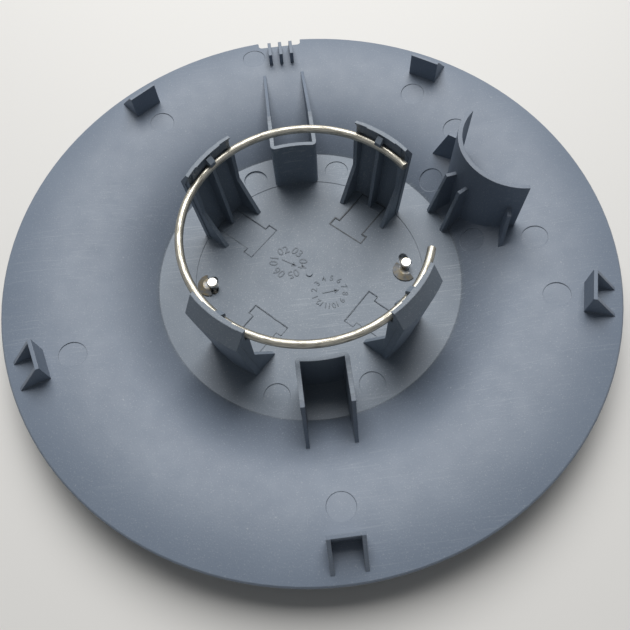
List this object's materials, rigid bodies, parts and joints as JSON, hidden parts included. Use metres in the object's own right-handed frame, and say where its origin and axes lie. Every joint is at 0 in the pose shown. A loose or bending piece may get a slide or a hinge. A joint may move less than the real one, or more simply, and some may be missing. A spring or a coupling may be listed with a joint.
{
  "type": "wheel center cap",
  "caption": "Round moulded plastic wheel center cap seen from behind, with barbed snap fingers and a spring-wire retaining ring that hold it in a wheel's hub bore.",
  "frame": {"origin": "middle of the flat front face, on the cap's axis", "axes": "+Z along the cap's axis from the front face towards the wheel, +Y towards the rim notch"},
  "size_m": [0.203, 0.2026, 0.0368],
  "materials": {
    "plastic": "satin grey moulded plastic",
    "wire": "bright plated spring wire",
    "post": "bright plated post",
    "nut": "dull plated spring steel"
  },
  "bodies": {
    "root": {"cap_body": "plastic", "retaining_ring": "wire", "badge_posts": "post", "push_nuts": "nut"}
  },
  "joints": []
}
